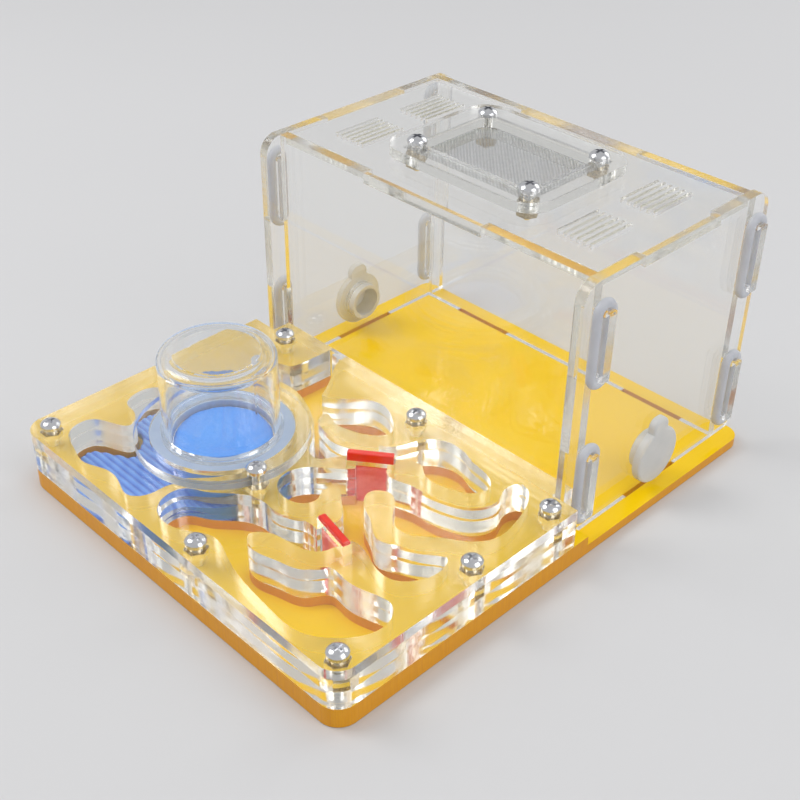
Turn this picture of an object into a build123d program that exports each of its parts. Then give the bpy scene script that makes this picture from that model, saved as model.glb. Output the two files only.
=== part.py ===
from build123d import *
import os

os.makedirs("parts", exist_ok=True)

# ---------------------------------------------------------------- driving dimensions (mm)
# Plan positions are measured from the front left corner of the base, heights from its underside.
WIDTH = 130.0
WALL = 3.0                      # acrylic of walls, lid, cover, base and yellow tunnel sheet
CLEAR_SHEET = 3.7               # each of the two thick clear tunnel sheets
THIN_SHEET = 2.0                # clear spacer sheet above the yellow tunnel sheet
NEST_BACK = 89.7                # back edge of the nest, where the box's front panel stands
NOTCH_DEPTH = 6.1               # notches of the clear sheets beside the wall ears
NOTCH_SIDE = 8.6
EAR = 5.2                       # side panels run past the front and back panels by this much
FRONT_CORNER = 6.0
BACK_CORNER = 5.0

BOX_INSET = 5.45                # outer face of the side panels from the base's edge
BOX_DEPTH = 67.7                # over the outer faces of front and back panels
BOX_HEIGHT = 78.15              # wall tops above the base's top
EAR_CORNER = 5.5

FIT = 0.2                       # all-round clearance of a tab in its slot
PLAY = 0.3                      # clearance of a piece that is lifted out

TAB_HEIGHT = 20.0               # joining tabs of front and back panels
TAB_REACH = 3.8                 # how far they stand out of the side panels
TAB_FROM_EDGE = 17.5            # tab centre from the wall's top and from the base
TAB_NOTCH = 1.4                 # depth of the ring groove at a tab's two ends
RING_WIRE = 2.6                 # section of the silicone rings round the tabs

LID_FINGER_WIDE = 43.4          # the lid's fingers on the front and back panels
LID_FINGER_DEEP = 32.2          # and on the side panels

SIDE_TAB_IN = 23.7              # tabs of the walls down into the base: first the side panels'
SIDE_TAB_LONG = 22.6
BACK_TAB_LEFT, BACK_TAB_RIGHT = 33.3, 29.8    # centres from the base's sides
BACK_TAB_LONG = 21.7

SCREW_HOLE = 3.4
SHANK = 3.0
NUT_FLATS = 5.5
NUT_HEIGHT = 2.4
HEAD_D = 5.7
HEAD_HEIGHT = 2.0
NEST_SCREWS = [(5.4, 5.9), (72.5, 5.3), (124.6, 5.5), (124.8, 49.4),
               (124.5, 79.1), (72.1, 82.8), (13.8, 83.7)]
SEAT_SCREW_DX, SEAT_SCREW_DY = 21.5, -5.6     # goes through the cap's seat ring
NEST_SHANK = 15.0
LID_SHANK = 10.0

CAP_X, CAP_Y = 41.6, 38.0
WELL_R = 14.2                   # hole of the cover and of the gasket under the cap
SEAT_R = 24.2
GASKET_R = 20.0
GASKET_HEIGHT = 2.4
CAP_FOOT_R = 16.9
CAP_R = 16.1
CAP_HEIGHT = 25.6
CAP_WALL = 1.5
CAP_SHOULDER = 3.0
CAP_DISH = 1.6                  # depth of the dished top

PAD_HEIGHT = 2.4
PAD_GAP = 1.3                   # pad's edge from the chamber's wall
RIB_PITCH = 2.0
RIB_HEIGHT = 0.5
RIB_INSET = 0.4                 # rib ends from the pad's edge
SPONGE_TOP = 1.2                # above the cover's top

GATE_LENGTH = 12.7
GATE_THICK = 2.0
GATES = {"gate_back": (77.7, 59.9, 36.7, 2.3), "gate_front": (92.5, 33.3, -12.4, 0.8)}

PLUG_IN = 33.3                  # plug's centre behind the front panel's face
PLUG_UP = 10.8                  # plug's centre above the base's top
PLUG_HOLE_R = 6.0
PLUG_FLANGE_R = 8.7
PLUG_FLANGE = 2.4
PLUG_STUB = 5.0
PLUG_WALL = 1.2

FRAME_X, FRAME_Y, FRAME_CORNER = 56.6, 44.5, 8.0
VENT_OPEN_X, VENT_OPEN_Y = 41.0, 28.4
LID_SCREW_DX, LID_SCREW_DY = 20.5, 14.5
MESH_X, MESH_Y, MESH_THICK = 46.0, 35.0, 0.4
MESH_COLS, MESH_ROWS, MESH_WIRE = 17, 12, 0.7
SLOT_GROUP_DX, SLOT_GROUP_DY = 41.3, 12.95
SLOT_PITCH, SLOT_WIDE, SLOT_LONG, SLOT_COUNT = 2.1, 1.0, 16.6, 6

PASSAGE_X = (28.6, 34.4)        # way from the nest into the box
PASSAGE_UP = 1.0                # its sill above the base
PASSAGE_HIGH = 10.0

# ---------------------------------------------------------------- levels and derived values
LENGTH = NEST_BACK + BOX_DEPTH + EAR
Z_BASE = WALL
Z_YELLOW = Z_BASE + WALL
Z_THIN = Z_YELLOW + THIN_SHEET
Z_LOWER = Z_THIN + CLEAR_SHEET
Z_UPPER = Z_LOWER + CLEAR_SHEET
Z_COVER = Z_UPPER + WALL
Z_TOP = Z_BASE + BOX_HEIGHT
Z_LEDGE = Z_TOP - WALL
BOX_BACK = NEST_BACK + BOX_DEPTH
PLAN = Plane((-WIDTH / 2, -LENGTH / 2, 0))
NOTCH_BACK = NEST_BACK - NOTCH_DEPTH
PLUG_Y = NEST_BACK + PLUG_IN
BOX_MID = NEST_BACK + BOX_DEPTH / 2
VENT_X, VENT_Y = WIDTH / 2, BOX_MID
LID_FINGER_X = (WIDTH / 2 - LID_FINGER_WIDE / 2, WIDTH / 2 + LID_FINGER_WIDE / 2)
LID_FINGER_Y = (BOX_MID - LID_FINGER_DEEP / 2, BOX_MID + LID_FINGER_DEEP / 2)
SIDE_TAB_Y = (NEST_BACK + SIDE_TAB_IN, NEST_BACK + SIDE_TAB_IN + SIDE_TAB_LONG)
BACK_TABS_X = [(x - BACK_TAB_LONG / 2, x + BACK_TAB_LONG / 2)
               for x in (BACK_TAB_LEFT, WIDTH - BACK_TAB_RIGHT)]
TAB_ZS = (Z_BASE + TAB_FROM_EDGE, Z_TOP - TAB_FROM_EDGE)
RING_WIDTH = WALL + 2 * RING_WIRE + 0.1
RING_HEIGHT = TAB_HEIGHT - 2 * TAB_NOTCH + RING_WIDTH + 0.1


def on_plan(x, y):
    """The nest's plan is drawn 130 wide and 89.7 deep, and stretches with the nest's own size."""
    return x * WIDTH / 130, y * NEST_BACK / 89.7


CAP_AT = on_plan(CAP_X, CAP_Y)
SEAT_SCREW = (CAP_AT[0] + SEAT_SCREW_DX, CAP_AT[1] + SEAT_SCREW_DY)
SCREWS_AT = [on_plan(x, y) for x, y in NEST_SCREWS]
PASSAGE = [on_plan(x, 0)[0] for x in PASSAGE_X]

# ---------------------------------------------------------------- nest chambers
# Closed free-form outlines of the four hollows, drawn as smooth runs of key points.
# Each new run starts where the one before ended, so a corner is left between two runs.
BACK_ROOMS = [
    [(28.3, 92.0), (27.7, 84.5), (27.5, 79.5), (26.4, 75.2), (22.0, 73.4), (18.8, 70.6),
     (20.6, 66.6), (27.0, 66.8), (36.0, 68.0), (45.5, 65.4), (53.5, 60.8), (59.0, 55.0),
     (62.6, 51.2), (66.4, 51.2), (68.4, 54.4), (70.4, 57.6), (73.1, 59.7)],
    [(73.1, 59.7), (79.9, 64.8)],
    [(79.9, 64.8), (83.6, 68.0), (87.4, 69.4), (91.0, 67.1), (99.7, 67.6), (105.1, 70.4),
     (106.9, 75.3), (101.5, 79.4), (96.0, 80.4), (90.7, 82.4), (84.6, 81.8), (80.0, 78.4),
     (77.6, 71.8), (75.4, 68.6), (72.9, 67.4)],
    [(72.9, 67.4), (75.3, 65.1)],
    [(75.3, 65.1), (69.4, 61.2), (64.0, 59.7), (57.6, 60.8), (52.2, 63.8), (51.8, 66.6),
     (56.6, 65.6), (62.1, 66.1), (68.7, 69.2), (71.3, 73.4), (67.6, 78.0), (60.4, 81.2),
     (54.2, 79.4), (49.8, 75.2), (44.2, 71.8)],
    [(44.2, 71.8), (42.0, 75.8), (38.6, 80.8), (34.9, 86.0), (34.5, 92.0)],
    [(34.5, 92.0), (28.3, 92.0)],
]
MIDDLE_ROOMS = [
    [(76.3, 55.4), (71.8, 50.8), (66.4, 45.8), (64.9, 41.0), (67.2, 35.8), (73.2, 33.9),
     (78.0, 36.2), (78.9, 39.6), (77.2, 43.4), (79.0, 46.5), (83.6, 43.8), (88.0, 40.4),
     (89.1, 36.9)],
    [(89.1, 36.9), (97.2, 35.1)],
    [(97.2, 35.1), (101.6, 35.0), (108.1, 32.6), (114.4, 32.5), (119.2, 37.6),
     (120.2, 43.6), (118.2, 47.6), (113.2, 45.2), (107.0, 42.2), (101.0, 40.0), (95.6, 43.2),
     (88.4, 47.2), (86.2, 51.6), (90.0, 55.0), (94.8, 52.2), (100.0, 46.9), (105.0, 46.8),
     (111.0, 51.4), (117.5, 55.9), (121.4, 61.6), (121.1, 68.8), (118.8, 76.2),
     (115.4, 81.4), (112.0, 83.0), (109.9, 79.4), (112.0, 72.8), (110.2, 66.8), (104.4, 63.3),
     (97.6, 61.7), (91.2, 61.0), (86.8, 59.7), (83.1, 60.4)],
    [(83.1, 60.4), (76.3, 55.4)],
]
FRONT_ROOMS = [
    [(87.9, 31.4), (82.6, 31.2), (76.6, 28.6), (70.4, 28.8), (63.6, 26.4), (56.5, 20.4),
     (51.4, 17.0), (50.6, 12.0), (53.6, 7.0), (60.0, 5.4), (66.0, 7.8), (72.0, 10.9),
     (80.1, 8.9), (90.3, 6.1), (101.1, 4.8), (112.5, 5.0), (119.2, 9.4), (123.6, 15.8),
     (124.2, 21.4), (120.6, 26.3), (113.0, 25.2), (106.0, 24.3), (100.8, 24.4), (97.2, 19.6),
     (90.0, 16.7), (81.0, 15.3), (77.4, 18.0), (80.4, 21.8), (87.0, 23.4), (93.4, 25.4),
     (95.9, 29.7)],
    [(95.9, 29.7), (87.9, 31.4)],
]
WATER_ROOM = [
    [(7.8, 39.3), (6.4, 34.0), (9.0, 28.6), (14.5, 27.4), (18.2, 23.0), (13.6, 20.0),
     (8.0, 16.0), (9.0, 9.6), (17.0, 5.8), (23.4, 4.4), (30.6, 6.9), (38.0, 6.2),
     (43.6, 5.0), (46.9, 8.6), (47.6, 15.0), (51.6, 20.8), (55.6, 26.0), (57.4, 32.0),
     (57.4, 38.0), (59.2, 44.6), (56.6, 50.6), (50.4, 55.4), (42.0, 58.0), (31.4, 57.2),
     (21.8, 53.4), (14.4, 46.0), (7.8, 39.3)],
]
GATE_WAYS = [
    [(73.1, 59.7), (79.9, 64.8), (83.1, 60.4), (76.3, 55.4)],
    [(89.1, 36.9), (97.2, 35.1), (95.9, 29.7), (87.9, 31.4)],
]


def room_face(runs):
    """One face bounded by smooth runs of points, each starting where the last one ended."""
    with BuildSketch(mode=Mode.PRIVATE) as room:
        with BuildLine():
            for drawn in runs:
                run = [on_plan(x, y) for x, y in drawn]
                if run[0] == run[-1]:
                    Spline(*run[:-1], periodic=True)
                elif len(run) == 2:
                    Line(*run)
                else:
                    Spline(*run)
        make_face()
    return room.sketch


def way_face(corners):
    """The straight-sided way through which a gate stands."""
    with BuildSketch(mode=Mode.PRIVATE) as way:
        with BuildLine():
            Polyline(*[on_plan(x, y) for x, y in corners], close=True)
        make_face()
    return way.sketch


def inset_face(run, gap):
    """Face bounded by a closed smooth run that stays one gap inside another such run."""
    with BuildSketch(mode=Mode.PRIVATE) as inset:
        with BuildLine(mode=Mode.PRIVATE):
            wall = Spline(*[on_plan(x, y) for x, y in run[:-1]], periodic=True)
        inside = []
        steps = 2 * len(run)
        for i in range(steps):
            along = wall % (i / steps)
            inside.append(wall @ (i / steps) + Vector(-along.Y, along.X) * gap)
        with BuildLine():
            Spline(*inside, periodic=True)
        make_face()
    return inset.sketch


WATER = room_face(WATER_ROOM)
ROOMS = [room_face(r) for r in (BACK_ROOMS, MIDDLE_ROOMS, FRONT_ROOMS)]
ROOMS += [way_face(w) for w in GATE_WAYS] + [WATER]


def nest_outline(notched):
    """Outline of a nest sheet in plan: round front corners, and notches beside the wall ears."""
    ends = [(WIDTH, NEST_BACK), (0, NEST_BACK)]
    if notched:
        ends = [(WIDTH, NOTCH_BACK), (WIDTH - NOTCH_SIDE, NOTCH_BACK),
                (WIDTH - NOTCH_SIDE, NEST_BACK), (NOTCH_SIDE, NEST_BACK),
                (NOTCH_SIDE, NOTCH_BACK), (0, NOTCH_BACK)]
    with BuildSketch(mode=Mode.PRIVATE) as outline:
        with BuildLine():
            Polyline(*ends)
            Line(ends[-1], (0, FRONT_CORNER))
            RadiusArc((0, FRONT_CORNER), (FRONT_CORNER, 0), -FRONT_CORNER)
            Line((FRONT_CORNER, 0), (WIDTH - FRONT_CORNER, 0))
            RadiusArc((WIDTH - FRONT_CORNER, 0), (WIDTH, FRONT_CORNER), -FRONT_CORNER)
            Line((WIDTH, FRONT_CORNER), ends[0])
        make_face()
    return outline.sketch


def nest_sheet(bottom, thick, notched=True, nut_pockets=False):
    """A laser-cut sheet of the nest with all rooms, gate slots and screw holes cut through."""
    with BuildPart() as sheet:
        with BuildSketch(PLAN.offset(bottom)):
            add(nest_outline(notched))
            add(ROOMS, mode=Mode.SUBTRACT)
            for x, y, turn, _ in GATES.values():
                with Locations(Location((*on_plan(x, y), 0), (0, 0, turn))):
                    Rectangle(GATE_LENGTH + 2 * PLAY, GATE_THICK + 2 * PLAY, mode=Mode.SUBTRACT)
            with Locations(*SCREWS_AT, SEAT_SCREW):
                if nut_pockets:
                    RegularPolygon(NUT_FLATS / 2 + 0.1, 6, major_radius=False,
                                   mode=Mode.SUBTRACT)
                else:
                    Circle(SCREW_HOLE / 2, mode=Mode.SUBTRACT)
        extrude(amount=thick)
    return sheet.part


# ---------------------------------------------------------------- base and nest sheets
with BuildPart() as base_plate:
    with BuildSketch(PLAN):
        with BuildLine():
            Line((0, FRONT_CORNER), (0, LENGTH - BACK_CORNER))
            RadiusArc((0, LENGTH - BACK_CORNER), (BACK_CORNER, LENGTH), BACK_CORNER)
            Line((BACK_CORNER, LENGTH), (WIDTH - BACK_CORNER, LENGTH))
            RadiusArc((WIDTH - BACK_CORNER, LENGTH), (WIDTH, LENGTH - BACK_CORNER), BACK_CORNER)
            Line((WIDTH, LENGTH - BACK_CORNER), (WIDTH, FRONT_CORNER))
            RadiusArc((WIDTH, FRONT_CORNER), (WIDTH - FRONT_CORNER, 0), FRONT_CORNER)
            Line((WIDTH - FRONT_CORNER, 0), (FRONT_CORNER, 0))
            RadiusArc((FRONT_CORNER, 0), (0, FRONT_CORNER), FRONT_CORNER)
        make_face()
        for x in (BOX_INSET + WALL / 2, WIDTH - BOX_INSET - WALL / 2):
            with Locations((x, sum(SIDE_TAB_Y) / 2)):
                Rectangle(WALL + FIT, SIDE_TAB_Y[1] - SIDE_TAB_Y[0] + 2 * FIT, mode=Mode.SUBTRACT)
        for x0, x1 in BACK_TABS_X:
            with Locations(((x0 + x1) / 2, BOX_BACK - WALL / 2)):
                Rectangle(x1 - x0 + 2 * FIT, WALL + FIT, mode=Mode.SUBTRACT)
    extrude(amount=Z_BASE)

with BuildPart() as tunnel_sheet_yellow:
    add(nest_sheet(Z_BASE, WALL, notched=False))
with BuildPart() as spacer_sheet_clear:
    add(nest_sheet(Z_YELLOW, THIN_SHEET))
with BuildPart() as tunnel_sheet_lower:
    add(nest_sheet(Z_THIN, CLEAR_SHEET))
with BuildPart() as tunnel_sheet_upper:
    add(nest_sheet(Z_LOWER, CLEAR_SHEET, nut_pockets=True))

with BuildPart() as nest_cover:
    with BuildSketch(PLAN.offset(Z_UPPER)):
        add(nest_outline(True))
        for x, y, turn, _ in GATES.values():
            with Locations(Location((*on_plan(x, y), 0), (0, 0, turn))):
                Rectangle(GATE_LENGTH + 2 * PLAY, GATE_THICK + 2 * PLAY, mode=Mode.SUBTRACT)
        with Locations(*SCREWS_AT, SEAT_SCREW):
            Circle(SCREW_HOLE / 2, mode=Mode.SUBTRACT)
        with Locations(CAP_AT):
            Circle(WELL_R, mode=Mode.SUBTRACT)
    extrude(amount=WALL)


# ---------------------------------------------------------------- screws and nuts
def pan_head_screw(shank):
    """Cross-recess pan head screw with its head's underside at height zero."""
    with BuildPart() as screw:
        with BuildSketch(Plane.XZ):
            with BuildLine():
                Polyline((0, -shank), (SHANK / 2 - 0.4, -shank), (SHANK / 2, -shank + 0.4),
                         (SHANK / 2, 0), (HEAD_D / 2, 0), (HEAD_D / 2, 0.9))
                ThreePointArc((HEAD_D / 2, 0.9), (HEAD_D * 0.36, HEAD_HEIGHT * 0.86),
                              (0, HEAD_HEIGHT))
                Line((0, HEAD_HEIGHT), (0, -shank))
            make_face()
        revolve(axis=Axis.Z)
        with BuildSketch(Plane.XY.offset(HEAD_HEIGHT - 1.1)):
            Rectangle(3.0, 0.8)
            Rectangle(0.8, 3.0)
        extrude(amount=1.3, mode=Mode.SUBTRACT)
    return screw.part


def hex_nut():
    """Hex nut with its top face at height zero."""
    with BuildPart() as nut:
        with BuildSketch(Plane.XY.offset(-NUT_HEIGHT)):
            RegularPolygon(NUT_FLATS / 2, 6, major_radius=False)
            Circle(SHANK / 2 + 0.05, mode=Mode.SUBTRACT)
        extrude(amount=NUT_HEIGHT)
    return nut.part


def placed(shape, spots, height):
    """Copies of one shape at plan positions, all at one height."""
    return [PLAN * Pos(x, y, height) * shape for x, y in spots]


LID_SCREWS = [(VENT_X + i * LID_SCREW_DX, VENT_Y + j * LID_SCREW_DY)
              for i in (-1, 1) for j in (-1, 1)]
Z_FRAME = Z_TOP + MESH_THICK
Z_FRAME_TOP = Z_FRAME + WALL

with BuildPart() as nest_screws:
    add(placed(pan_head_screw(NEST_SHANK), SCREWS_AT, Z_COVER))
    add(placed(pan_head_screw(NEST_SHANK), [SEAT_SCREW], Z_COVER + WALL))
with BuildPart() as nest_nuts:
    add(placed(hex_nut(), SCREWS_AT + [SEAT_SCREW], Z_UPPER))
with BuildPart() as lid_screws:
    add(placed(pan_head_screw(LID_SHANK), LID_SCREWS, Z_FRAME_TOP))
with BuildPart() as lid_nuts:
    add(placed(hex_nut(), LID_SCREWS, Z_LEDGE))

# ---------------------------------------------------------------- gates
def gate(name):
    x, y, turn, proud = GATES[name]
    with BuildPart() as blade:
        with BuildSketch(PLAN.offset(Z_BASE)):
            with Locations(Location((*on_plan(x, y), 0), (0, 0, turn))):
                Rectangle(GATE_LENGTH, GATE_THICK)
        extrude(amount=Z_COVER + proud - Z_BASE)
        chamfer(blade.faces().sort_by(Axis.Z)[-1].edges(), length=0.25)
    return blade.part


with BuildPart() as gate_back:
    add(gate("gate_back"))
with BuildPart() as gate_front:
    add(gate("gate_front"))

# ---------------------------------------------------------------- water feeder
with BuildPart() as water_pad:
    with BuildSketch(PLAN.offset(Z_BASE)):
        add(inset_face(WATER_ROOM[0], PAD_GAP))
    extrude(amount=PAD_HEIGHT)
    with BuildSketch(PLAN.offset(Z_BASE + PAD_HEIGHT)):
        add(inset_face(WATER_ROOM[0], PAD_GAP + RIB_INSET))
        with Locations((WIDTH / 2, NEST_BACK / 2)):
            with GridLocations(1, RIB_PITCH, 1, int(NEST_BACK / RIB_PITCH)):
                Rectangle(WIDTH, RIB_PITCH / 2, mode=Mode.SUBTRACT)
        with Locations(CAP_AT):
            Circle(WELL_R, mode=Mode.SUBTRACT)
    extrude(amount=RIB_HEIGHT)

with BuildPart() as water_sponge:
    with BuildSketch(PLAN.offset(Z_BASE + PAD_HEIGHT)):
        with Locations(CAP_AT):
            Circle(WELL_R - PLAY)
    extrude(amount=Z_COVER + SPONGE_TOP - Z_BASE - PAD_HEIGHT)
    fillet(water_sponge.faces().sort_by(Axis.Z)[-1].edges(), radius=0.6)

with BuildPart() as cap_seat_ring:
    with BuildSketch(PLAN.offset(Z_COVER)):
        with Locations(CAP_AT):
            Circle(SEAT_R)
            Circle(GASKET_R, mode=Mode.SUBTRACT)
        with Locations(SEAT_SCREW):
            Circle(SCREW_HOLE / 2, mode=Mode.SUBTRACT)
    extrude(amount=WALL)

with BuildPart() as cap_gasket:
    with BuildSketch(PLAN.offset(Z_COVER)):
        with Locations(CAP_AT):
            Circle(GASKET_R - FIT / 2)
            Circle(WELL_R, mode=Mode.SUBTRACT)
    extrude(amount=GASKET_HEIGHT)


def dish_mid(radius, height, depth):
    """Point half-way out on a ball-shaped dish that is level at the axis."""
    ball = (radius ** 2 + depth ** 2) / (2 * depth)
    return radius / 2, height - depth + ball - (ball ** 2 - radius ** 2 / 4) ** 0.5


Z_CAP = Z_COVER + GASKET_HEIGHT
CAP_PLANE = Plane(PLAN.from_local_coords((*CAP_AT, Z_CAP)), x_dir=(1, 0, 0),
                  z_dir=(0, -1, 0))
with BuildPart() as glass_cap:
    with BuildSketch(CAP_PLANE):
        with BuildLine():
            inside = CAP_R - CAP_WALL
            shoulder = CAP_HEIGHT - CAP_SHOULDER
            rim = CAP_R - CAP_SHOULDER
            ceiling = CAP_HEIGHT - CAP_WALL
            Polyline((inside, 0), (CAP_FOOT_R, 0), (CAP_FOOT_R, 1.4), (CAP_R, 2.4),
                     (CAP_R, shoulder))
            RadiusArc((CAP_R, shoulder), (rim, CAP_HEIGHT), -CAP_SHOULDER)
            Line((rim, CAP_HEIGHT), (rim - 1.2, CAP_HEIGHT))
            ThreePointArc((rim - 1.2, CAP_HEIGHT), dish_mid(rim - 1.2, CAP_HEIGHT, CAP_DISH),
                          (0, CAP_HEIGHT - CAP_DISH))
            Line((0, CAP_HEIGHT - CAP_DISH), (0, ceiling - CAP_DISH))
            ThreePointArc((0, ceiling - CAP_DISH), dish_mid(rim - 1.2, ceiling, CAP_DISH),
                          (rim - 1.2, ceiling))
            Line((rim - 1.2, ceiling), (rim, ceiling))
            RadiusArc((rim, ceiling), (inside, shoulder), CAP_SHOULDER - CAP_WALL)
            Line((inside, shoulder), (inside, 0))
        make_face()
    revolve(axis=Axis(CAP_PLANE.origin, (0, 0, 1)))

# ---------------------------------------------------------------- box panels
FRONT_EAR = NEST_BACK - EAR
BACK_EAR = BOX_BACK + EAR


def side_panel(outer_x, inward):
    """Side panel with ears, ring-tab slots, lid recess, plug hole and one tab into the base."""
    left_face = outer_x if inward > 0 else outer_x - WALL
    plane = Plane(PLAN.from_local_coords((left_face, 0, 0)), x_dir=(0, 1, 0), z_dir=(1, 0, 0))
    with BuildPart() as panel:
        with BuildSketch(plane):
            with BuildLine():
                Polyline((FRONT_EAR, Z_YELLOW), (NEST_BACK, Z_YELLOW), (NEST_BACK, Z_BASE),
                         (SIDE_TAB_Y[0], Z_BASE), (SIDE_TAB_Y[0], 0), (SIDE_TAB_Y[1], 0),
                         (SIDE_TAB_Y[1], Z_BASE), (BACK_EAR, Z_BASE),
                         (BACK_EAR, Z_TOP - EAR_CORNER))
                RadiusArc((BACK_EAR, Z_TOP - EAR_CORNER), (BACK_EAR - EAR_CORNER, Z_TOP),
                          -EAR_CORNER)
                Polyline((BACK_EAR - EAR_CORNER, Z_TOP), (LID_FINGER_Y[1], Z_TOP),
                         (LID_FINGER_Y[1], Z_LEDGE), (LID_FINGER_Y[0], Z_LEDGE),
                         (LID_FINGER_Y[0], Z_TOP), (FRONT_EAR + EAR_CORNER, Z_TOP))
                RadiusArc((FRONT_EAR + EAR_CORNER, Z_TOP), (FRONT_EAR, Z_TOP - EAR_CORNER),
                          -EAR_CORNER)
                Line((FRONT_EAR, Z_TOP - EAR_CORNER), (FRONT_EAR, Z_YELLOW))
            make_face()
            for y in (NEST_BACK + WALL / 2, BOX_BACK - WALL / 2):
                for z in TAB_ZS:
                    with Locations((y, z)):
                        Rectangle(WALL + FIT, TAB_HEIGHT + 2 * FIT, mode=Mode.SUBTRACT)
            with Locations((PLUG_Y, Z_BASE + PLUG_UP)):
                Circle(PLUG_HOLE_R, mode=Mode.SUBTRACT)
        extrude(amount=WALL)
    return panel.part


def cross_panel(front_y, base_tabs=(), passage=False):
    """Front or back panel with four ring tabs, a lid recess and its own openings."""
    inner = BOX_INSET + WALL
    low, high = BOX_INSET - TAB_REACH, WIDTH - BOX_INSET + TAB_REACH
    plane = Plane(PLAN.from_local_coords((0, front_y + WALL, 0)), x_dir=(1, 0, 0),
                  z_dir=(0, -1, 0))
    with BuildPart() as panel:
        with BuildSketch(plane):
            with Locations((WIDTH / 2, (Z_BASE + Z_TOP) / 2)):
                Rectangle(WIDTH - 2 * inner, BOX_HEIGHT)
            with Locations((sum(LID_FINGER_X) / 2, Z_TOP - WALL / 2)):
                Rectangle(LID_FINGER_X[1] - LID_FINGER_X[0], WALL, mode=Mode.SUBTRACT)
            for z in TAB_ZS:
                with Locations((WIDTH / 2, z)):
                    Rectangle(high - low, TAB_HEIGHT)
                for x in (BOX_INSET - RING_WIRE / 2, WIDTH - BOX_INSET + RING_WIRE / 2):
                    for end in (-1, 1):
                        with Locations((x, z + end * TAB_HEIGHT / 2)):
                            Rectangle(RING_WIRE, 2 * TAB_NOTCH, mode=Mode.SUBTRACT)
            for x0, x1 in base_tabs:
                with Locations(((x0 + x1) / 2, Z_BASE / 2)):
                    Rectangle(x1 - x0, WALL)
            if passage:
                with Locations((sum(PASSAGE) / 2, Z_BASE + PASSAGE_UP + PASSAGE_HIGH / 2)):
                    Rectangle(PASSAGE[1] - PASSAGE[0], PASSAGE_HIGH, mode=Mode.SUBTRACT)
        extrude(amount=WALL)
    return panel.part


with BuildPart() as left_panel:
    add(side_panel(BOX_INSET, 1))
with BuildPart() as right_panel:
    add(side_panel(WIDTH - BOX_INSET, -1))
with BuildPart() as front_panel:
    add(cross_panel(NEST_BACK, passage=True))
with BuildPart() as back_panel:
    add(cross_panel(BOX_BACK - WALL, base_tabs=BACK_TABS_X))

# ---------------------------------------------------------------- silicone tab rings
def tab_ring(x, y, z):
    """Round-section loop stretched round one joining tab, lying against the side panel."""
    spot = Plane(PLAN.from_local_coords((x, y, z)), x_dir=(0, 1, 0), z_dir=(1, 0, 0))
    with BuildPart() as ring:
        with BuildLine(spot) as path:
            half = (RING_HEIGHT - RING_WIDTH) / 2
            r = (RING_WIDTH - RING_WIRE) / 2
            Line((r, -half), (r, half))
            ThreePointArc((r, half), (0, half + r), (-r, half))
            Line((-r, half), (-r, -half))
            ThreePointArc((-r, -half), (0, -half - r), (r, -half))
        start = Plane(path.line @ 0, z_dir=path.line % 0)
        with BuildSketch(start):
            Circle(RING_WIRE / 2)
        sweep(path=path.line)
    return ring.part


with BuildPart() as tab_rings:
    for x in (BOX_INSET - RING_WIRE / 2, WIDTH - BOX_INSET + RING_WIRE / 2):
        for y in (NEST_BACK + WALL / 2, BOX_BACK - WALL / 2):
            for z in TAB_ZS:
                add(tab_ring(x, y, z))

# ---------------------------------------------------------------- lid, vent frame and mesh
with BuildPart() as lid_panel:
    inner = BOX_INSET + WALL + PLAY
    with BuildSketch(PLAN.offset(Z_LEDGE)):
        with Locations((WIDTH / 2, BOX_MID)):
            Rectangle(WIDTH - 2 * inner, BOX_DEPTH - 2 * (WALL + PLAY))
            Rectangle(WIDTH - 2 * BOX_INSET, 1)
        with Locations((WIDTH / 2, BOX_MID)):
            Rectangle(LID_FINGER_X[1] - LID_FINGER_X[0] - 2 * PLAY, BOX_DEPTH)
        with Locations((WIDTH / 2, sum(LID_FINGER_Y) / 2)):
            Rectangle(WIDTH - 2 * BOX_INSET, LID_FINGER_Y[1] - LID_FINGER_Y[0] - 2 * PLAY)
        with Locations((VENT_X, VENT_Y)):
            RectangleRounded(VENT_OPEN_X, VENT_OPEN_Y, 4.5, mode=Mode.SUBTRACT)
            with GridLocations(2 * SLOT_GROUP_DX, 2 * SLOT_GROUP_DY, 2, 2):
                with GridLocations(SLOT_PITCH, 0, SLOT_COUNT, 1):
                    SlotOverall(SLOT_LONG, SLOT_WIDE, rotation=90, mode=Mode.SUBTRACT)
        with Locations(*LID_SCREWS):
            Circle(SCREW_HOLE / 2, mode=Mode.SUBTRACT)
    extrude(amount=WALL)

with BuildPart() as vent_mesh:
    with BuildSketch(PLAN.offset(Z_TOP)):
        with Locations((VENT_X, VENT_Y)):
            Rectangle(MESH_X, MESH_Y)
            cell_x = (MESH_X - 2) / MESH_COLS
            cell_y = (MESH_Y - 2) / MESH_ROWS
            with GridLocations(cell_x, cell_y, MESH_COLS, MESH_ROWS):
                Rectangle(cell_x - MESH_WIRE, cell_y - MESH_WIRE, mode=Mode.SUBTRACT)
        with Locations(*LID_SCREWS):
            Circle(SCREW_HOLE / 2 + 0.6, mode=Mode.SUBTRACT)
    extrude(amount=MESH_THICK)

with BuildPart() as vent_frame:
    with BuildSketch(PLAN.offset(Z_FRAME)):
        with Locations((VENT_X, VENT_Y)):
            RectangleRounded(FRAME_X, FRAME_Y, FRAME_CORNER)
            RectangleRounded(VENT_OPEN_X, VENT_OPEN_Y, 4.5, mode=Mode.SUBTRACT)
        with Locations(*LID_SCREWS):
            Circle(SCREW_HOLE / 2, mode=Mode.SUBTRACT)
    extrude(amount=WALL)

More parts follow.
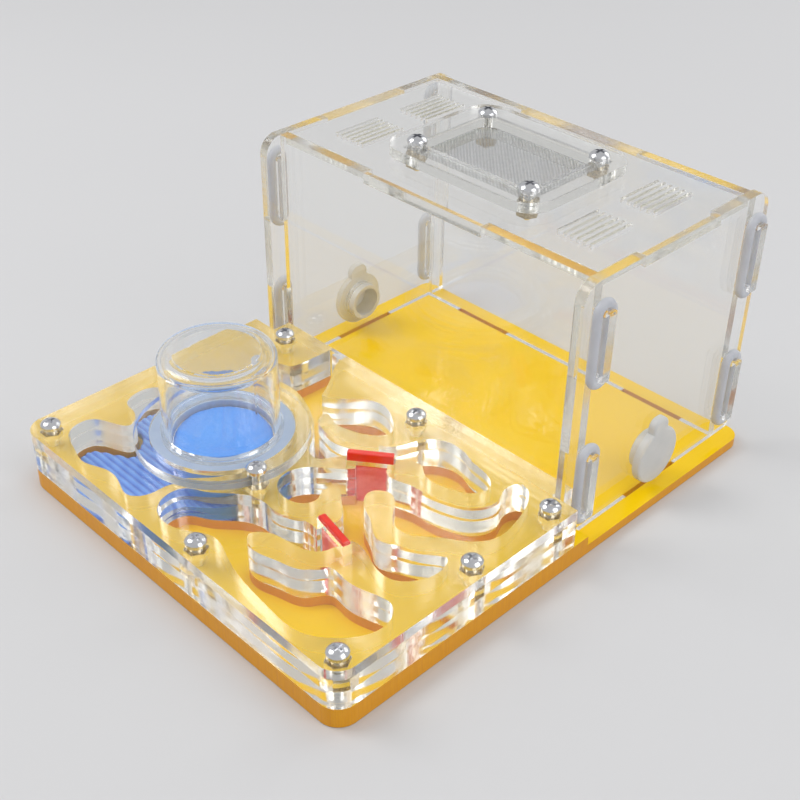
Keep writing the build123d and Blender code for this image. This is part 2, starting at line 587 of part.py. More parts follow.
# ---------------------------------------------------------------- side plugs
def plug(face_x, outward):
    """Soft plug: hollow stub, round flange against the panel and a pull tab on its rim."""
    centre = PLAN.from_local_coords((face_x, PLUG_Y, Z_BASE + PLUG_UP))
    plane = Plane(centre, x_dir=(0, outward, 0), z_dir=(outward, 0, 0))
    with BuildPart() as body:
        with BuildSketch(plane):
            Circle(PLUG_FLANGE_R)
            with Locations((0, PLUG_FLANGE_R)):
                RectangleRounded(6.4, 7.0, 2.6)
        extrude(amount=PLUG_FLANGE)
        fillet(body.faces().sort_by(Axis((0, 0, 0), (outward, 0, 0)))[-1].edges(), radius=0.8)
        with BuildSketch(plane):
            Circle(PLUG_HOLE_R - 0.1)
        extrude(amount=-PLUG_STUB)
        with BuildSketch(plane.offset(-PLUG_STUB)):
            Circle(PLUG_HOLE_R - 0.1 - PLUG_WALL)
        extrude(amount=PLUG_STUB + 0.8, mode=Mode.SUBTRACT)
    return body.part


with BuildPart() as plug_right:
    add(plug(WIDTH - BOX_INSET, 1))
with BuildPart() as plug_left:
    add(plug(BOX_INSET, -1))

# ---------------------------------------------------------------- output
PIECES = {
    "base_plate": base_plate, "tunnel_sheet_yellow": tunnel_sheet_yellow,
    "spacer_sheet_clear": spacer_sheet_clear, "tunnel_sheet_lower": tunnel_sheet_lower,
    "tunnel_sheet_upper": tunnel_sheet_upper, "nest_cover": nest_cover,
    "nest_screws": nest_screws, "nest_nuts": nest_nuts,
    "gate_back": gate_back, "gate_front": gate_front,
    "water_pad": water_pad, "water_sponge": water_sponge, "cap_seat_ring": cap_seat_ring,
    "cap_gasket": cap_gasket, "glass_cap": glass_cap,
    "left_panel": left_panel, "right_panel": right_panel,
    "front_panel": front_panel, "back_panel": back_panel, "tab_rings": tab_rings,
    "lid_panel": lid_panel, "vent_mesh": vent_mesh, "vent_frame": vent_frame,
    "lid_screws": lid_screws, "lid_nuts": lid_nuts,
    "plug_right": plug_right, "plug_left": plug_left,
}
for label, piece in PIECES.items():
    piece.part.label = label
    export_step(piece.part, f"parts/{label}.step")
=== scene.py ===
# %% [markdown]
# Ant habitat: a flat nest of stacked clear sheets on a yellow base, joined to a clear box.
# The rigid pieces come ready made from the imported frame, so this lesson is about finishes:
# polished and laser-cut acrylic, a clear cap, silicone, plated screws, a woven vent net, and the
# two soft pieces of the water feeder, which are modelled here. Lengths are in metres, except
# where a comment gives another unit.

import math

import bpy
import numpy as np
from mathutils import Matrix, Vector


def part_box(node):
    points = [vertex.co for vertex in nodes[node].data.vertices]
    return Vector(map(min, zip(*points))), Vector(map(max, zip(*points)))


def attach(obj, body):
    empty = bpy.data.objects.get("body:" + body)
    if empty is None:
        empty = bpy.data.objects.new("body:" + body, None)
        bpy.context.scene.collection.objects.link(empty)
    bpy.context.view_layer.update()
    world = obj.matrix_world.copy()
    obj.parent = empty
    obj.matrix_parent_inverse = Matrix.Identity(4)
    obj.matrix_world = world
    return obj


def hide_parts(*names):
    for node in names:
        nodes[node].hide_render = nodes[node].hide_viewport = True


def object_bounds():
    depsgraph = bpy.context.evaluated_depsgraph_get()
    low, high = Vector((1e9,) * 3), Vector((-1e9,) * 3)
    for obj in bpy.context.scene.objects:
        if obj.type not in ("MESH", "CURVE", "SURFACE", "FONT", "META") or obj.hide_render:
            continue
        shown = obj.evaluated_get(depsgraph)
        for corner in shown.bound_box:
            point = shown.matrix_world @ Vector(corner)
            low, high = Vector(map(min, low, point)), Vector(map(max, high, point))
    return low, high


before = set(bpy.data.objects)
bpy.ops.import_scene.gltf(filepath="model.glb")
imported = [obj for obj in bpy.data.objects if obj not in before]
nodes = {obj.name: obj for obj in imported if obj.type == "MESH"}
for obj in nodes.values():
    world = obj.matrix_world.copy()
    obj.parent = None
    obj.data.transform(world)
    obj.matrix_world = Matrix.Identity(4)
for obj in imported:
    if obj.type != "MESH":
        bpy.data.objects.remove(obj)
cad_low, cad_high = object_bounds()
print("nodes:", len(nodes), "size in mm:", [round(x * 1000, 1) for x in cad_high - cad_low])

# %% [markdown]
# Node graphs are long when every sum needs three lines. A small class wraps a socket, so that
# sums on it are written as plain Python and each operator adds its own Math node.

# %% A socket that does arithmetic
class Wire:
    def __init__(self, finish, socket):
        self.finish, self.socket = finish, socket

    def maths(self, operation, *values):
        return self.finish.node("ShaderNodeMath", {"operation": operation}, dict(enumerate(values)))

    def __add__(self, other):
        return self.maths("ADD", self, other)

    def __radd__(self, other):
        return self.maths("ADD", other, self)

    def __sub__(self, other):
        return self.maths("SUBTRACT", self, other)

    def __rsub__(self, other):
        return self.maths("SUBTRACT", other, self)

    def __mul__(self, other):
        return self.maths("MULTIPLY", self, other)

    def __rmul__(self, other):
        return self.maths("MULTIPLY", other, self)

    def __abs__(self):
        return self.maths("ABSOLUTE", self)

    def __lt__(self, other):
        return self.maths("LESS_THAN", self, other)


# %% [markdown]
# Every other node comes from one method, which takes its type, its settings, and the values or
# links of its sockets. The helpers below it name what the finishes of this object have in common.

# %% One method for every other node
EDGE_LIMIT = 0.6                        # below this share along the thickness, a face is an edge
LET_BY = (0.995, 0.995, 0.99, 1)        # the light that a clear piece lets by


class Finish:
    """A material, or the world, under construction."""

    def __init__(self, name, library=bpy.data.materials):
        self.owner = library.new(name)
        self.owner.use_nodes = True
        self.tree = self.owner.node_tree
        self.tree.nodes.clear()

    def node(self, kind, settings=None, sockets=None, output=0):
        made = self.tree.nodes.new(kind)
        for key, value in (settings or {}).items():
            setattr(made, key, value)
        for key, value in (sockets or {}).items():
            if isinstance(value, Wire):
                self.tree.links.new(value.socket, made.inputs[key])
            else:
                made.inputs[key].default_value = value
        return Wire(self, made.outputs[output]) if made.outputs else made

    def place(self, *scale):
        """Object coordinates, stretched by a scale."""
        at = self.node("ShaderNodeTexCoord", output="Object")
        return self.node("ShaderNodeVectorMath", {"operation": "MULTIPLY"}, {0: at, 1: scale})

    def axis(self, name, source="Object"):
        at = self.node("ShaderNodeTexCoord", output=source)
        return self.node("ShaderNodeSeparateXYZ", {}, {0: at}, output=name)

    def cut_edge(self, thin_axis):
        """1 on the edges of a sheet, 0 on its faces."""
        return abs(self.axis(thin_axis, "Normal")) < EDGE_LIMIT

    def noise(self, scale, stretch=(1, 1, 1), detail=3.0):
        return self.node("ShaderNodeTexNoise", {}, {"Vector": self.place(*stretch),
                         "Scale": scale, "Detail": detail})

    def blend(self, mask, low, high):
        """Colour that goes from low to high with a mask."""
        return self.node("ShaderNodeMix", {"data_type": "RGBA"}, {0: mask, 6: low, 7: high},
                         output=2)

    def bump(self, height, distance, strength=1.0):
        return self.node("ShaderNodeBump", {}, {"Height": height, "Distance": distance,
                         "Strength": strength})

    def surface(self, **values):
        named = {key.replace("_", " "): value for key, value in values.items()}
        return self.node("ShaderNodeBsdfPrincipled", {}, named)

    def lets_light_by(self, glass):
        """A clear shader that the rays which light other things go straight through."""
        for ray in ("Is Diffuse Ray", "Is Shadow Ray"):
            mask = self.node("ShaderNodeLightPath", output=ray)
            straight = self.node("ShaderNodeBsdfTransparent", {}, {"Color": LET_BY})
            glass = self.node("ShaderNodeMixShader", {}, {0: mask, 1: glass, 2: straight})
        return glass

    def done(self, shader, output="ShaderNodeOutputMaterial"):
        self.node(output, {}, {"Surface": shader})
        return self.owner


def rgb(red, green, blue):
    """A screen colour, 0 to 255, as the linear values that a shader takes."""
    return (*[(c / 255 / 12.92) if c < 11 else ((c / 255 + 0.055) / 1.055) ** 2.4
              for c in (red, green, blue)], 1)


def dress(finish, *names):
    """Puts one finish on named frame pieces."""
    for name in names:
        data = nodes[name].data
        data.materials.clear()
        data.materials.append(finish)
    print(finish.name, "on", ", ".join(names))


# %% [markdown]
# Clear acrylic bends light like glass but less strongly. Its faces come polished from the maker,
# while a laser cuts its edges and leaves fine upright lines there. A mask tells edges from faces
# by the direction of the surface. Rays that light other things pass straight through, because a
# sheet of clear plastic throws hardly any shadow. The three sheets inside the stack are pressed
# together by the screws, so their faces are made to mirror far less than a free face does.

# %% Clear acrylic
ACRYLIC_IOR = 1.49
LASER_LINES = 0.00005                   # height of the lines on a cut edge
PRESSED_MIRROR = 0.15                   # what is left of the mirror between pressed sheets


def clear_plastic(name, thin_axis, mirror=1.0, tint=(0.985, 0.985, 0.975, 1)):
    f = Finish(name)
    edge = f.cut_edge(thin_axis)
    stretch = [1, 1, 1]
    stretch["XYZ".index(thin_axis)] = 0.06
    lines = f.noise(2600, stretch, 2)
    haze = f.noise(60, detail=4)
    colour = f.blend(edge, tint, (0.95, 0.945, 0.9, 1))
    rough = 0.008 + haze * 0.02 + edge * (0.05 + lines * 0.12)
    wavy = f.bump(edge * lines + haze * 0.04, LASER_LINES)
    glass = f.surface(Base_Color=colour, Roughness=rough, Normal=wavy, IOR=ACRYLIC_IOR,
                      Transmission_Weight=1.0, Specular_Tint=(mirror, mirror, mirror, 1))
    return f.done(f.lets_light_by(glass))


dress(clear_plastic("clear_pressed_sheet", "Z", PRESSED_MIRROR), "spacer_sheet_clear",
      "tunnel_sheet_lower", "tunnel_sheet_upper")
dress(clear_plastic("clear_level_sheet", "Z"), "nest_cover", "lid_panel", "vent_frame",
      "cap_seat_ring")
dress(clear_plastic("clear_side_panel", "X"), "left_panel", "right_panel")
dress(clear_plastic("clear_cross_panel", "Y"), "front_panel", "back_panel")

# %% [markdown]
# Two clear faces that lie exactly on each other render black, because a ray cannot tell which of
# them it meets first. Real sheets keep a hair of air between them. A Displace modifier draws each
# clear sheet in by such a hair, and leaves its mesh as it came.

# %% Hair-thin air gaps between stacked sheets
AIR_GAP = 0.000015

for name in ("spacer_sheet_clear", "tunnel_sheet_lower", "tunnel_sheet_upper", "nest_cover",
             "cap_seat_ring", "lid_panel", "vent_frame", "left_panel", "right_panel",
             "front_panel", "back_panel"):
    gap = nodes[name].modifiers.new("air gap", "DISPLACE")
    gap.strength, gap.mid_level = -AIR_GAP, 0.0
print("air gap in mm:", AIR_GAP * 1000)

# %% [markdown]
# The base and the lowest tunnel sheet are solid yellow acrylic. Light gathers inside it and leaves
# at the edges; that glow is painted, so cut edges get a deeper, warmer colour than the polished
# faces.

# %% Yellow acrylic
def yellow_plastic(name):
    f = Finish(name)
    edge = f.cut_edge("Z")
    cloud = f.noise(35, detail=5)
    lines = f.noise(2400, (1, 1, 0.05), 2)
    face = f.blend(cloud, rgb(248, 200, 2), rgb(252, 210, 6))
    # painted light: the deeper orange of the cut edges stands for the glow that leaves the sheet
    # there
    painted_edge_glow = f.blend(lines, rgb(214, 138, 8), rgb(236, 168, 16))
    rough = 0.16 + cloud * 0.08 + edge * (0.12 + lines * 0.15)
    return f.done(f.surface(Base_Color=f.blend(edge, face, painted_edge_glow), Roughness=rough,
                            IOR=ACRYLIC_IOR, Specular_IOR_Level=0.3,
                            Coat_Weight=0.12, Coat_Roughness=0.05,
                            Normal=f.bump(edge * lines, LASER_LINES)))


dress(yellow_plastic("yellow_sheet"), "base_plate", "tunnel_sheet_yellow")

# %% [markdown]
# The two gates are short blades of red acrylic. Hardly anything shows through them in the
# photograph, so a solid colour under a glossy coat stands for them.

# %% Red acrylic
def red_plastic(name):
    f = Finish(name)
    cloud = f.noise(300, detail=4)
    lines = f.noise(2400, (1, 1, 0.05), 2)
    colour = f.blend(cloud, rgb(226, 30, 12), rgb(244, 52, 20))
    return f.done(f.surface(Base_Color=colour, Roughness=0.06 + lines * 0.12,
                            IOR=ACRYLIC_IOR, Coat_Weight=0.5, Coat_Roughness=0.03,
                            Normal=f.bump(lines, 0.00003)))


dress(red_plastic("red_sheet"), "gate_back", "gate_front")

# %% [markdown]
# The cap is glass or moulded clear plastic. The photograph does not tell which, and both look
# alike: smoother than sheet, with faint waves from moulding.

# %% Clear cap
def cap_glass(name):
    f = Finish(name)
    waves = f.noise(90, (1, 1, 0.35), 3)
    specks = f.noise(1500, detail=2)
    glass = f.surface(Base_Color=f.blend(waves, (0.985, 0.985, 0.98, 1), (0.965, 0.975, 0.975, 1)),
                      Roughness=0.004 + specks * 0.012, IOR=1.5, Transmission_Weight=1.0,
                      Normal=f.bump(waves, 0.00006))
    return f.done(f.lets_light_by(glass))


dress(cap_glass("moulded_cap"), "glass_cap")

# %% [markdown]
# Silicone is milky: some light enters, scatters and comes out again, and its skin is satin.
# It serves for the rings round the joining tabs, the gasket and the two side plugs.

# %% Silicone
def milky_silicone(name, colour_low, colour_high, clear):
    f = Finish(name)
    cloud = f.noise(220, detail=4)
    fine = f.noise(2500, detail=2)
    return f.done(f.surface(Base_Color=f.blend(cloud, colour_low, colour_high),
                            Roughness=0.3 + fine * 0.16, IOR=1.41, Subsurface_Weight=0.35,
                            Subsurface_Scale=0.002, Subsurface_Radius=(1, 1, 1),
                            Transmission_Weight=clear,
                            Normal=f.bump(fine, 0.00003)))


dress(milky_silicone("ring_silicone", rgb(206, 209, 218), rgb(228, 230, 236), 0.3),
      "tab_rings")
# the gasket's blue tint is painted light: it stands for the blue of the pad and sponge showing
# through the milky silicone
dress(milky_silicone("gasket_silicone", rgb(184, 202, 230), rgb(208, 222, 242), 0.3),
      "cap_gasket")
dress(milky_silicone("plug_silicone", rgb(232, 233, 232), rgb(248, 248, 247), 0.35),
      "plug_right", "plug_left")

# %% [markdown]
# Screws are bright plated steel and the nuts a duller, warmer plating. Metal is all reflection,
# so tiny changes of roughness do the work, and the threads, which hardly show, are left off.

# %% Plated metal
def plated(name, low, high, shine):
    f = Finish(name)
    cloud = f.noise(900, detail=4)
    return f.done(f.surface(Base_Color=f.blend(cloud, low, high), Metallic=1.0,
                            Roughness=shine + cloud * 0.1,
                            Normal=f.bump(f.noise(3500), 0.00002)))


dress(plated("bright_screw", rgb(206, 207, 210), rgb(232, 232, 234), 0.08), "nest_screws",
      "lid_screws")
dress(plated("plated_nut", rgb(176, 160, 128), rgb(204, 190, 158), 0.22), "nest_nuts", "lid_nuts")

# %% [markdown]
# The vent is closed by a fine woven steel net. A pattern of holes on a flat sheet could stand for
# it, but it looks flat from close by. Plain weave is easy to draw: each wire is a thin tube along
# a sine wave, and each next wire has the opposite phase.

# %% Woven net
NET_PITCH, NET_WIRE = 0.00062, 0.00017  # from wire to wire, and across one wire
WIRE_SIDES = 3                          # enough for a wire this thin
SWING = 0.55                            # just over half a wire, so that crossing wires miss


def weave(low, high, pitch, wire):
    """Vertices and faces of a plain weave that fills a rectangle."""
    points, faces = [], []
    middle = (low.z + high.z) / 2
    swing = wire * SWING
    for along in (0, 1):
        across = 1 - along
        length = high[along] - low[along]
        count = int((high[across] - low[across] - wire) / pitch) + 1
        steps = int(length / pitch) * 2
        for row in range(count):
            start = len(points)
            side = (high[across] + low[across]) / 2 + (row - (count - 1) / 2) * pitch
            for step in range(steps + 1):
                run = low[along] + length * step / steps
                phase = math.pi * (run - low[along]) / pitch + math.pi * (row + along)
                rise = middle + swing * math.sin(phase + math.pi / 2)
                for turn in range(WIRE_SIDES):
                    angle = turn * 2 * math.pi / WIRE_SIDES + math.pi / 2
                    point = [0, 0, rise + wire / 2 * math.sin(angle)]
                    point[along] = run
                    point[across] = side + wire / 2 * math.cos(angle)
                    points.append(point)
            for step in range(steps):
                for turn in range(WIRE_SIDES):
                    a = start + step * WIRE_SIDES + turn
                    b = start + step * WIRE_SIDES + (turn + 1) % WIRE_SIDES
                    faces.append((a, b, b + WIRE_SIDES, a + WIRE_SIDES))
    return points, faces


# %% [markdown]
# Each piece made here becomes a mesh from points and faces. It rides on a body, so that it moves
# with that body's joint.

# %% From points and faces to a piece
def add_piece(name, points, faces, finish, body, slot):
    data = bpy.data.meshes.new(name)
    data.from_pydata([tuple(p) for p in points], [], faces)
    data.validate()
    data.materials.append(finish)
    data.polygons.foreach_set("use_smooth", [True] * len(data.polygons))
    piece = bpy.data.objects.new(name, data)
    bpy.context.scene.collection.objects.link(piece)
    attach(piece, body)
    print(name, len(points), "vertices")
    return piece


net_low, net_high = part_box("vent_mesh")
net_steel = plated("net_steel", rgb(176, 178, 180), rgb(208, 210, 212), 0.25)
net = add_piece("vent_net", *weave(net_low, net_high, NET_PITCH, NET_WIRE), net_steel, "lid",
                "steel_mesh")
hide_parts("vent_mesh")

# %% [markdown]
# The water pad lies on the floor of the feeder room. It is a cut piece of ribbed fibre: its ribs
# run from side to side, and a round patch in the middle is left flat for the sponge. A dense
# sheet of points is raised into ribs and then trimmed to the outline.

# %% Outline of the water pad
# Turning points of the room's wall, in mm from the front left corner of the base.
ROOM = [(7.8, 39.3), (6.4, 34.0), (9.0, 28.6), (14.5, 27.4), (18.2, 23.0), (13.6, 20.0),
        (8.0, 16.0), (9.0, 9.6), (17.0, 5.8), (23.4, 4.4), (30.6, 6.9), (38.0, 6.2),
        (43.6, 5.0), (46.9, 8.6), (47.6, 15.0), (51.6, 20.8), (55.6, 26.0), (57.4, 32.0),
        (57.4, 38.0), (59.2, 44.6), (56.6, 50.6), (50.4, 55.4), (42.0, 58.0), (31.4, 57.2),
        (21.8, 53.4), (14.4, 46.0)]
CORNER = Vector((cad_low.x, cad_low.y))
PAD_GAP = 0.0014                        # the pad ends this far inside the wall


def smooth_loop(corners, per_span=8):
    """A closed smooth run through points, in metres."""
    loop = []
    spans = len(corners)
    for i in range(spans):
        p0, p1, p2, p3 = [Vector(corners[(i + k - 1) % spans]) for k in range(4)]
        for j in range(per_span):
            t = j / per_span
            loop.append(0.5 * (2 * p1 + (p2 - p0) * t + (2 * p0 - 5 * p1 + 4 * p2 - p3) * t ** 2
                               + (3 * p1 - p0 - 3 * p2 + p3) * t ** 3))
    return [CORNER + p / 1000 for p in loop]


def moved_in(loop, gap):
    """The same closed run, drawn in by a gap."""
    count = len(loop)
    result = []
    for i, p in enumerate(loop):
        along = (loop[(i + 2) % count] - loop[i - 2]).normalized()
        result.append(p + Vector((-along.y, along.x)) * gap)
    return result


pad_edge = moved_in(smooth_loop(ROOM), PAD_GAP)
print("pad outline points:", len(pad_edge))

# %% Ribbed pad
STEP_X, STEP_Y = 0.0005, 0.00025        # between points, along a rib and across it
BEFORE = 0.0004                         # the sheet of points starts this far outside the outline
BEYOND_X, BEYOND_Y = 0.0006, 0.0003     # and ends within this past it
BELOW = 0.001                           # its underside lies this far under the pad, to be cut off
RIB_PITCH, RIB_RISE = 0.002, 0.0005
GROOVE_DROP = 0.00055                   # from the top of the box down to the grooves
RIB_SHAPE = 0.7                         # below 1 makes crests wide and grooves narrow
FADE = 0.0006                           # the ribs run out over this length at the sponge
RIM_ROUND = 0.0007                      # width and depth of the soft rim
WANDER = 0.00006                        # unevenness of the top


def ribbed_pad(edge, low, high, centre, flat_radius):
    line = np.array([[p.x, p.y] for p in edge])
    after = np.roll(line, -1, axis=0)
    xs = np.arange(line[:, 0].min() - BEFORE, line[:, 0].max() + BEYOND_X, STEP_X)
    ys = np.arange(line[:, 1].min() - BEFORE, line[:, 1].max() + BEYOND_Y, STEP_Y)
    grid_x, grid_y = np.meshgrid(xs, ys)
    spots = np.stack([grid_x.ravel(), grid_y.ravel()], axis=1)
    near = np.full(len(spots), 1.0)
    for a, b in zip(line, after):
        run = b - a
        t = np.clip(((spots - a) @ run) / (run @ run), 0, 1)
        near = np.minimum(near, np.hypot(*(spots - a - t[:, None] * run).T))
    ribs = 0.5 + 0.5 * np.cos((spots[:, 1] - line[:, 1].min()) * 2 * math.pi / RIB_PITCH)
    away = np.hypot(spots[:, 0] - centre.x, spots[:, 1] - centre.y) - flat_radius
    ribs *= np.clip(away / FADE, 0, 1)
    rounding = np.clip(1 - near / RIM_ROUND, 0, 1) ** 2
    wander = WANDER * np.sin(spots[:, 0] * 900 + 3 * np.sin(spots[:, 1] * 400))
    height = high - GROOVE_DROP + RIB_RISE * ribs ** RIB_SHAPE - RIM_ROUND * rounding + wander
    wide, deep = len(xs), len(ys)
    top = [(x, y, z) for (x, y), z in zip(spots, height)]
    bottom = [(x, y, low - BELOW) for x, y in spots]
    faces = []
    for j in range(deep - 1):
        for i in range(wide - 1):
            a = j * wide + i
            faces.append((a, a + 1, a + 1 + wide, a + wide))
    under = wide * deep
    faces += [tuple(under + k for k in reversed(face)) for face in faces]
    painted_edge_glow = ([i for i in range(wide)] + [j * wide + wide - 1 for j in range(1, deep)]
           + [(deep - 1) * wide + i for i in range(wide - 2, -1, -1)]
           + [j * wide for j in range(deep - 2, 0, -1)])
    for a, b in zip(painted_edge_glow, painted_edge_glow[1:] + painted_edge_glow[:1]):
        faces.append((b, a, a + under, b + under))
    return top + bottom, faces


# %% [markdown]
# Pad and sponge share one finish of blue fibre with pores. On the pad the colour also follows the
# height: shade is painted into the grooves, so they come out darker than the crests.

# %% Blue fibre
PAINTED_SHADE_DEPTH = 0.0006                         # the colour darkens over this depth below the crests


def pad_finish(name, low, high, pores, crest=None):
    """Blue fibre. With a crest height, painted shade darkens what lies below it."""
    f = Finish(name)
    fibre = f.noise(2600, detail=4)
    cloud = f.noise(120, detail=3)
    cells = f.node("ShaderNodeTexVoronoi", {}, {"Vector": f.place(1, 1, 1), "Scale": pores})
    mask = fibre * 0.6 + cloud * 0.4
    # painted shade: the colour darkens from the crests down into the grooves
    if crest is not None:
        mask = mask * 0.4 + (f.axis("Z") - (crest - PAINTED_SHADE_DEPTH)) * (0.8 / PAINTED_SHADE_DEPTH)
    colour = f.blend(mask, low, high)
    return f.done(f.surface(Base_Color=colour, Roughness=0.75 + fibre * 0.2, Sheen_Weight=0.3,
                            Sheen_Roughness=0.5,
                            Normal=f.bump(cells * 0.6 + fibre * 0.5, 0.00018)))


# %% [markdown]
# The ribbed sheet is larger than the pad. Beside it stands a cutter: the pad's outline drawn up
# into an upright block, a little taller than the pad.

# %% The sheet of points and its cutter
ABOVE = 0.002                           # the cutter stands out over the pad by this

pad_low, pad_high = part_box("water_pad")
sponge_low, sponge_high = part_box("water_sponge")
sponge_mid = (sponge_low + sponge_high) / 2
sponge_radius = (sponge_high.x - sponge_low.x) / 2
pad_blue = pad_finish("ribbed_blue_pad", rgb(48, 96, 210), rgb(128, 180, 255), 1800,
                      pad_high.z)
sheet_piece = add_piece("pad_sheet", *ribbed_pad(pad_edge, pad_low.z, pad_high.z, sponge_mid,
                                                 sponge_radius), pad_blue, "housing", "blue_pad")
count = len(pad_edge)
cutter_points = [(p.x, p.y, z) for z in (pad_low.z, pad_high.z + ABOVE) for p in pad_edge]
cutter_faces = [tuple(reversed(range(count))), tuple(range(count, 2 * count))]
cutter_faces += [(i, (i + 1) % count, (i + 1) % count + count, i + count) for i in range(count)]
cutter = add_piece("pad_cutter", cutter_points, cutter_faces, pad_blue, "housing", "blue_pad")

# %% [markdown]
# A Boolean modifier keeps what the sheet and the upright cutter share. Its result becomes a mesh
# of its own, and the two helpers go.

# %% Trim the pad to its outline
trim = sheet_piece.modifiers.new("trim", "BOOLEAN")
trim.operation, trim.object, trim.solver = "INTERSECT", cutter, "EXACT"
bpy.context.view_layer.update()
ready = sheet_piece.evaluated_get(bpy.context.evaluated_depsgraph_get())
water_pad = bpy.data.objects.new("water_pad_ribbed", bpy.data.meshes.new_from_object(ready))
bpy.context.scene.collection.objects.link(water_pad)
for spare in (sheet_piece, cutter):
    bpy.data.objects.remove(spare)
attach(water_pad, "housing")
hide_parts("water_pad")
print("ribbed pad faces:", len(water_pad.data.polygons))

# %% [markdown]
# The sponge is a thick disc that stands on the pad and fills the round hole under the cap. It is
# turned from a profile with a soft crowned top, and its skin is pushed in and out a little.

# %% Sponge disc
WAIST = 0.012                           # the side is drawn in by this share of the radius
SHOULDER, SHOULDER_RISE = 0.0011, 0.0007
EDGE_DROP, CROWN = 0.0004, 0.0003       # the top's edge below the box, and its rise to the middle
DENT, SHY = 0.00006, 0.00005            # unevenness of the skin, and the room that it gets
SIDE_STEPS, SHOULDER_STEPS, TOP_STEPS, TURNS = 8, 6, 14, 96


def soft_disc(low, high, radius, centre):
    rings = []
    for k in range(SIDE_STEPS + 1):
        rings.append((radius * (1 - WAIST * math.sin(math.pi * k / SIDE_STEPS)),
                      low + (high - low - SHOULDER) * k / SIDE_STEPS))
    for k in range(1, SHOULDER_STEPS + 1):
        angle = k / SHOULDER_STEPS * math.pi / 2
        rings.append((radius - SHOULDER + SHOULDER * math.cos(angle),
                      high - SHOULDER + SHOULDER_RISE * math.sin(angle)))
    for k in range(1, TOP_STEPS):
        share = 1 - k / TOP_STEPS
        rings.append(((radius - SHOULDER) * share,
                      high - EDGE_DROP + CROWN * (1 - share ** 2)))
    points, faces = [], []
    for r, z in rings:
        for turn in range(TURNS):
            angle = turn * 2 * math.pi / TURNS
            dent = DENT * math.sin(7 * angle + z * 900) * math.sin(r * 1500 + 2 * angle)
            points.append((centre.x + (r + dent * 0.6 - SHY) * math.cos(angle),
                           centre.y + (r + dent * 0.6 - SHY) * math.sin(angle), z + dent))
    for k in range(len(rings) - 1):
        for turn in range(TURNS):
            a, b = k * TURNS + turn, k * TURNS + (turn + 1) % TURNS
            faces.append((a, b, b + TURNS, a + TURNS))
    faces.append(tuple(range((len(rings) - 1) * TURNS, len(rings) * TURNS)))
    faces.append(tuple(reversed(range(TURNS))))
    return points, faces


sponge_blue = pad_finish("blue_sponge_cells", rgb(72, 144, 246), rgb(102, 174, 255), 1100)
sponge = add_piece("sponge_disc", *soft_disc(sponge_low.z, sponge_high.z, sponge_radius,
                                             sponge_mid), sponge_blue, "housing", "blue_sponge")
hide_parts("water_sponge")

# %% [markdown]
# The object stands on a plain pale grey floor, which keeps its shadow. Grey rather than white
# lets the bright edges of clear sheets stand out from it.

# %% Floor
FLOOR_HALF, FLOOR_DROP = 3, 0.0002

floor_data = bpy.data.meshes.new("floor")
floor_data.from_pydata([(-FLOOR_HALF, -FLOOR_HALF, 0), (FLOOR_HALF, -FLOOR_HALF, 0),
                        (FLOOR_HALF, FLOOR_HALF, 0), (-FLOOR_HALF, FLOOR_HALF, 0)],
                       [], [(0, 1, 2, 3)])
floor = bpy.data.objects.new("floor", floor_data)
floor.location.z = -FLOOR_DROP
bpy.context.scene.collection.objects.link(floor)
pale = Finish("pale_floor")
tone = pale.blend(pale.noise(3), (0.62, 0.62, 0.63, 1), (0.65, 0.65, 0.66, 1))
floor_data.materials.append(pale.done(pale.surface(Base_Color=tone, Roughness=0.7)))
print("floor:", 2 * FLOOR_HALF, "m wide")

# %% [markdown]
# The world lights the object evenly and at a plain level, at which a colour renders about as it
# is written. The camera, mirrors and clear pieces all see one pale grey of it, close to that of
# the floor, so metal and plastic show the surroundings that the picture has.

# %% World
scene = bpy.context.scene
studio = Finish("studio", bpy.data.worlds)


def sky(colour, strength):
    return studio.node("ShaderNodeBackground", {}, {"Color": colour, "Strength": strength})


shade = sky((1, 1, 1, 1), 0.65)
looked_at = sky((0.97, 0.98, 1, 1), 0.6)
for ray in ("Is Glossy Ray", "Is Transmission Ray", "Is Camera Ray"):
    mask = studio.node("ShaderNodeLightPath", output=ray)
    shade = studio.node("ShaderNodeMixShader", {}, {0: mask, 1: shade, 2: looked_at})
scene.world = studio.done(shade, "ShaderNodeOutputWorld")
print("world:", scene.world.name)

# %% [markdown]
# Three large square lamps give the object its form: a key from the front left, a weaker fill from
# the right, and one from behind that draws light along the edges of the sheets.

# %% Lamps
def soft_lamp(name, spot, aim, size, power):
    data = bpy.data.lights.new(name, "AREA")
    data.shape, data.size, data.energy = "SQUARE", size, power
    lamp = bpy.data.objects.new(name, data)
    scene.collection.objects.link(lamp)
    lamp.location = spot
    lamp.rotation_mode = "QUATERNION"
    lamp.rotation_quaternion = (Vector(aim) - Vector(spot)).to_track_quat("-Z", "Y")
    print(name, "at", spot, "with", power, "W")


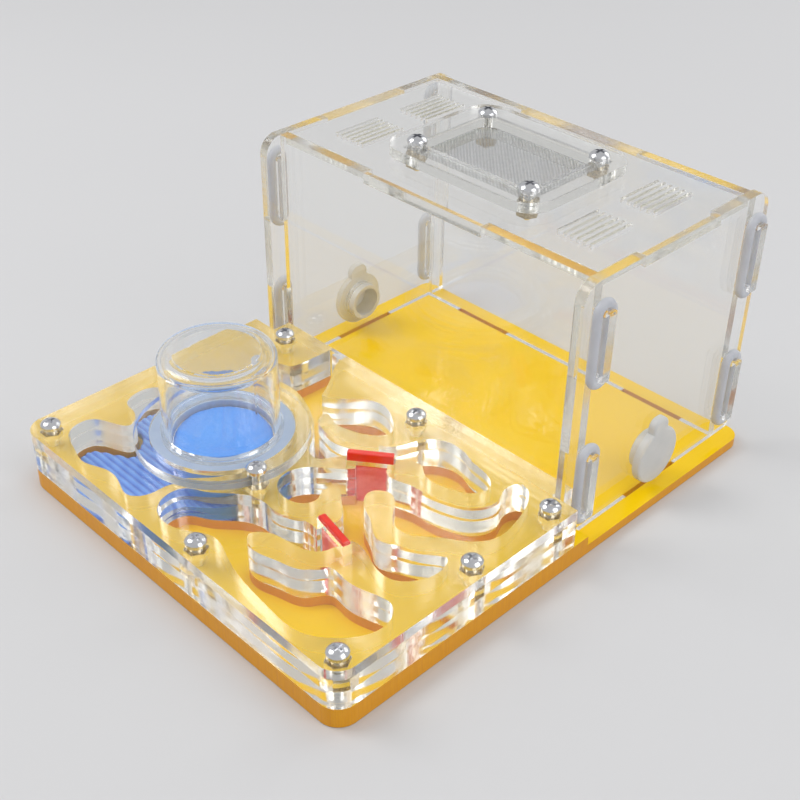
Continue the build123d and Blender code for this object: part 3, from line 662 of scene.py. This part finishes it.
soft_lamp("key_lamp", (-0.55, -0.35, 0.75), (0, 0, 0.02), 0.45, 3.2)
soft_lamp("fill_lamp", (0.65, 0.1, 0.55), (0, 0, 0.03), 0.5, 1.6)
soft_lamp("back_lamp", (0.1, 0.8, 0.5), (0, 0.04, 0.03), 0.5, 1.3)

# %% [markdown]
# The camera stands where the photograph was taken from: in front, to the right and above, turned
# by less than one degree.

# %% Camera
EYE = (0.21449, -0.21082, 0.23092)
LINE_OF_SIGHT = (-0.5824, 0.5778, -0.5719)
ROLL = 0.7117                           # degrees
SENSOR = 36                             # mm
PHOTO_WIDTH, FOCAL_LENGTH = 800, 1293.5  # both in pixels of the photograph

sight = Vector(LINE_OF_SIGHT).normalized()
level_right = sight.cross(Vector((0, 0, 1))).normalized()
level_up = level_right.cross(sight)
roll = math.radians(ROLL)
right = level_right * math.cos(roll) + level_up * math.sin(roll)
up = level_up * math.cos(roll) - level_right * math.sin(roll)
camera_data = bpy.data.cameras.new("camera")
camera_data.sensor_width = SENSOR
camera_data.lens = FOCAL_LENGTH / PHOTO_WIDTH * SENSOR
camera_data.clip_start, camera_data.clip_end = 0.01, 20
camera = bpy.data.objects.new("camera", camera_data)
scene.collection.objects.link(camera)
camera.matrix_world = (Matrix.Translation(EYE)
                       @ Matrix((right, up, -sight)).transposed().to_4x4())
scene.camera = camera
print("lens in mm:", round(camera_data.lens, 2))

# %% [markdown]
# Light crosses many clear faces and bounces to and fro inside the sheets before it comes out at an
# edge. Paths that stop too early leave those edges black, so the limits are high. Caustics stay
# off, because the clear finishes let light by already.

# %% View settings and light paths
CLEAR_BOUNCES, ALL_BOUNCES = 40, 48

scene.view_settings.view_transform = "Standard"
scene.cycles.max_bounces = ALL_BOUNCES
scene.cycles.transmission_bounces = CLEAR_BOUNCES
scene.cycles.glossy_bounces = CLEAR_BOUNCES
scene.cycles.diffuse_bounces = 3
scene.cycles.transparent_max_bounces = ALL_BOUNCES
scene.cycles.caustics_refractive = False
scene.cycles.caustics_reflective = False
print("bounces:", ALL_BOUNCES)
